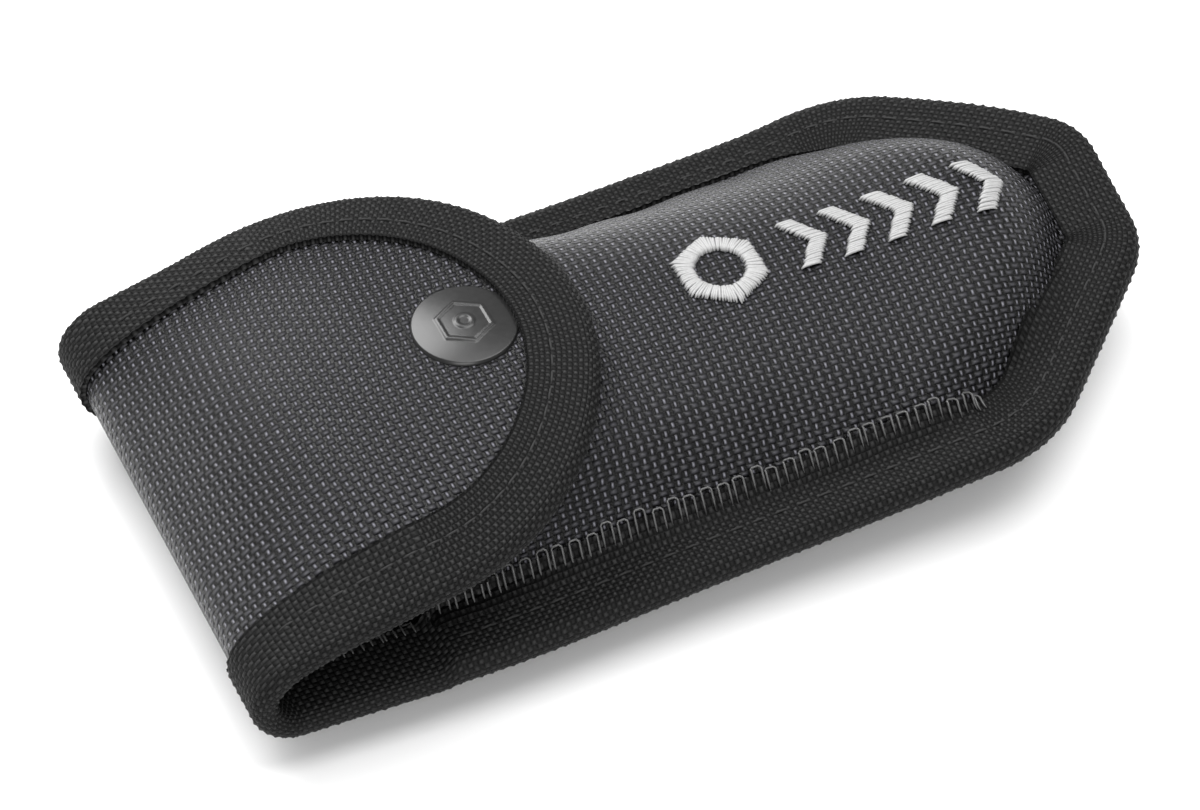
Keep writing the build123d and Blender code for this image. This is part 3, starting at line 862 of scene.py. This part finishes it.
def stitch_rows():
    """The lock stitches of the edge tape, on both faces, and of the flap's tape."""
    per_stitch = 10  # points of the outline
    ends = 3 * per_stitch  # left without stitches at the fold
    outline = sheath_outline(STITCH_PITCH / per_stitch)
    inner = outline + left_of(outline) * EDGE_STITCH_INSET
    way = np.gradient(inner, axis=0)
    places = []
    for k in range(ends, len(inner) - ends, per_stitch):
        x, y = inner[k, 0] + FOLD_X, inner[k, 1]
        heading = np.array([way[k, 0], way[k, 1], 0]) / np.linalg.norm(way[k])
        up = np.array((0.0, 0.0, 1.0))
        if x > MOUTH_X + 2:
            point = front_surface(np.array(x), np.array(y)) + up * (TAPE + STITCH_LIFT)
            places.append((point, heading, up))
        point = back_surface(np.array(inner[k, 0]), np.array(y)) - up * (TAPE + STITCH_LIFT)
        places.append((point, heading, -up))
    edge = lay_stitches("edge_stitches", places, "sheath", ["edge_binding_stitches"])

    outline = flap_outline(STITCH_PITCH / per_stitch)
    inner = outline + left_of(outline) * FLAP_STITCH_INSET
    places = []
    for k in range(ends, len(inner) - ends, per_stitch):
        point = flap_surface(inner[k, 0], inner[k, 1])
        ahead = flap_surface(inner[k + 1, 0], inner[k + 1, 1])
        up = normals(flap_surface, inner[k, 0], inner[k, 1])
        heading = (ahead - point) / np.linalg.norm(ahead - point)
        places.append((point + up * (TAPE + STITCH_LIFT), heading, up))
    flap = lay_stitches("flap_stitches", places, "flap", ["flap_binding_stitches"])
    return [edge, flap]


def cap_piece():
    """The snap's cap: a shallow crown with a rolled rim, a plain embossed hexagon and a small ring."""
    base = float(flap_surface(FLAP_ARC + SNAP_X - FLAP_START_X, np.array(0.0))[2])
    rings = np.concatenate([np.linspace(0.02, 5.6, 40), np.linspace(5.7, CAP_RADIUS, 22)])
    turn = np.arange(144) * math.tau / 144
    r, a = np.meshgrid(rings, turn, indexing="ij")
    roll = ease((r - CAP_RADIUS + CAP_ROLL) / CAP_ROLL) ** 2
    z = base + CAP_LIFT + CAP_CROWN * (1 - (r / CAP_RADIUS) ** 2) - CAP_ROLL_DROP * roll
    sector = (a + math.pi / 6) % (math.pi / 3) - math.pi / 6
    hexagon = r * np.cos(sector)
    ridge = ease((hexagon - HEXAGON[0]) / 0.16) * ease((HEXAGON[1] - hexagon) / 0.16)
    z = z + EMBOSS * ridge + EMBOSS * ease((RING[1] - r) / 0.2) * ease((r - RING[0]) / 0.2)
    top = np.stack([SNAP_X + r * np.cos(a), r * np.sin(a), z], -1)
    side = [(CAP_RADIUS + 0.05, base - 0.3), (CAP_RADIUS, base - 0.9), (CAP_RADIUS - 0.6, base - 1.1)]
    under = np.stack([np.stack([SNAP_X + q * np.cos(turn), q * np.sin(turn), 0 * turn + h], -1)
                      for q, h in side])
    points = np.concatenate([top, under]).reshape(-1, 3)
    rows, columns = len(rings) + len(side), len(turn)
    faces = []
    for i in range(rows - 1):
        for j in range(columns):
            n = (j + 1) % columns
            faces.append([i * columns + j, (i + 1) * columns + j, (i + 1) * columns + n, i * columns + n])
    faces.append(list(range(columns)))
    faces.append([(rows - 1) * columns + j for j in range(columns)][::-1])
    piece = make_mesh("snap_cap_shell", points, faces, "flap", "snap_black")
    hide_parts("snap_cap")
    return piece


def mark_piece():
    """The embroidered mark in satin stitch: a hexagon ring and a row of chevrons."""
    low, high = box("embroidered_mark")
    nut_radius = high[1] / math.cos(math.pi / 6)
    nut_x = low[0] + nut_radius
    strands = []
    for k in range(HEXAGON_STRANDS):
        a = math.tau * k / HEXAGON_STRANDS
        sector = (a + math.pi / 6) % (math.pi / 3) - math.pi / 6
        outer = nut_radius * math.cos(math.pi / 6) / math.cos(sector)
        way = np.array((math.cos(a), math.sin(a)))
        strands.append((way * HEXAGON_HOLE + (nut_x, 0), way * outer + (nut_x, 0)))
    first = high[0] - CHEVRON_PITCH * (CHEVRONS - 1) - CHEVRON_STROKE - CHEVRON_NOSE
    for i in range(CHEVRONS):
        for y in np.arange(-CHEVRON_HALF, CHEVRON_HALF + 0.01, STRAND_PITCH):
            x = first + CHEVRON_PITCH * i + CHEVRON_NOSE * (1 - abs(y) / CHEVRON_HALF)
            strands.append((np.array((x, y)), np.array((x + CHEVRON_STROKE, y))))
    paths = []
    for one, two in strands:
        one = one + rng.uniform(-STRAND_STRAY, STRAND_STRAY, 2)
        two = two + rng.uniform(-STRAND_STRAY, STRAND_STRAY, 2)
        t = np.linspace(0, 1, 8)
        plan = one + (two - one) * t[:, None]
        lift = 0.12 + 0.42 * np.sqrt(np.clip(1 - (2 * t - 1) ** 4, 0, 1))
        path = front_surface(plan[:, 0], plan[:, 1])
        path[:, 2] += lift
        paths.append(path)
    piece = threads("embroidery", paths, STRAND_RADIUS, "sheath", "white_thread")
    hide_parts("embroidered_mark")
    return piece


def loop_piece():
    """The belt loop's webbing."""
    half, step, bend = box("belt_loop")[1][1], 0.6, 4
    foot = [(x, BACK_Z + float(bow(np.array(x)))) for x in (29.0, 39.0)]
    corners = [(-45.0, BACK_Z), (-35.0, BACK_Z), (-27.0, STRAP), (21.0, STRAP), *foot]
    line = rounded(corners, [bend] * 4, step)
    out = -left_of(line)
    count = 61
    y = np.linspace(-half, half, count)
    grids = []
    for lift in (0.03, STRAP):
        run = line + out * lift
        grids.append(np.stack([run[:, :1] + 0 * y, 0 * run[:, :1] + y, run[:, 1:] + 0 * y], -1))
    rows = len(line)
    along = np.arange(rows)[:, None] * step + 0 * y
    weave = np.stack([along, y + 0 * along], -1).reshape(-1, 2)
    faces = grid_faces(rows, count) + grid_faces(rows, count, rows * count, True) + rim_faces(rows, count)
    piece = make_mesh("belt_loop_webbing", np.concatenate([g.reshape(-1, 3) for g in grids]), faces, "sheath",
                      "webbing", np.concatenate([weave, weave]))
    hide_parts("belt_loop")
    return piece


# ---------------------------------------------------------------- stage


def make_stage():
    """A pale floor, soft light and the camera."""
    bpy.ops.mesh.primitive_plane_add(size=6)
    floor = bpy.context.object
    floor.name = "floor"
    net = Net("pale_floor")
    net.set(Base_Color=grey(0.93), Roughness=0.9)
    floor.data.materials.append(net.material)

    world = bpy.data.worlds.new("studio")
    bpy.context.scene.world = world
    world.use_nodes = True
    world.node_tree.nodes["Background"].inputs[0].default_value = (1, 1, 1, 1)
    world.node_tree.nodes["Background"].inputs[1].default_value = 0.5

    lamps = {
        "key": ((-0.2, 0.75, 0.85), 0.7, 15.0),
        "fill": ((-0.4, -0.8, 0.6), 0.6, 4.5),
        "top": ((0.3, -0.05, 1.1), 0.8, 10.0),
    }
    for name, (place, size, power) in lamps.items():
        light = bpy.data.lights.new(name, "AREA")
        light.size = size
        light.energy = power
        lamp = bpy.data.objects.new(name, light)
        lamp.location = place
        lamp.rotation_euler = (Vector((0, 0, 0.02)) - Vector(place)).to_track_quat("-Z", "Y").to_euler()
        bpy.context.scene.collection.objects.link(lamp)

    level = math.cos(ELEVATION)
    back = Vector((math.sin(AZIMUTH) * level, -math.cos(AZIMUTH) * level, math.sin(ELEVATION)))
    right = Vector((math.cos(AZIMUTH), math.sin(AZIMUTH), 0))
    up = back.cross(right)
    target = Vector((-2.75, 0, 5.9)) * MM - right * 3.2 * MM + up * 0.7 * MM
    data = bpy.data.cameras.new("camera")
    data.lens = CAMERA_LENS
    data.clip_start = 0.01
    camera = bpy.data.objects.new("camera", data)
    camera.location = target + back * CAMERA_DISTANCE
    camera.rotation_euler = back.to_track_quat("Z", "Y").to_euler()
    bpy.context.scene.collection.objects.link(camera)
    bpy.context.scene.camera = camera
    bpy.context.scene.view_settings.view_transform = "Standard"


def main():
    """The whole scene: stage, pieces, and a material on every piece and CAD node."""
    make_stage()
    pieces = back_pieces() + flap_pieces() + front_pieces() + tape_pieces()
    pieces += [edge_loops(), cap_piece(), mark_piece(), loop_piece()] + stitch_rows()
    materials = make_materials()
    slots = {part["node"]: part["material_slot"] for part in frame["record"]["subparts"]}
    for piece in pieces:
        piece.data.materials.clear()
        # The edge loops take the lighter thread, whose colour is a painted highlight.
        own = "loop_thread_painted_highlight" if piece.name == "edge_thread_loops" else piece["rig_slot"]
        piece.data.materials.append(materials[own])
    for name, node in frame["nodes"].items():
        node.data.materials.clear()
        node.data.materials.append(materials[slots[name]])


main()
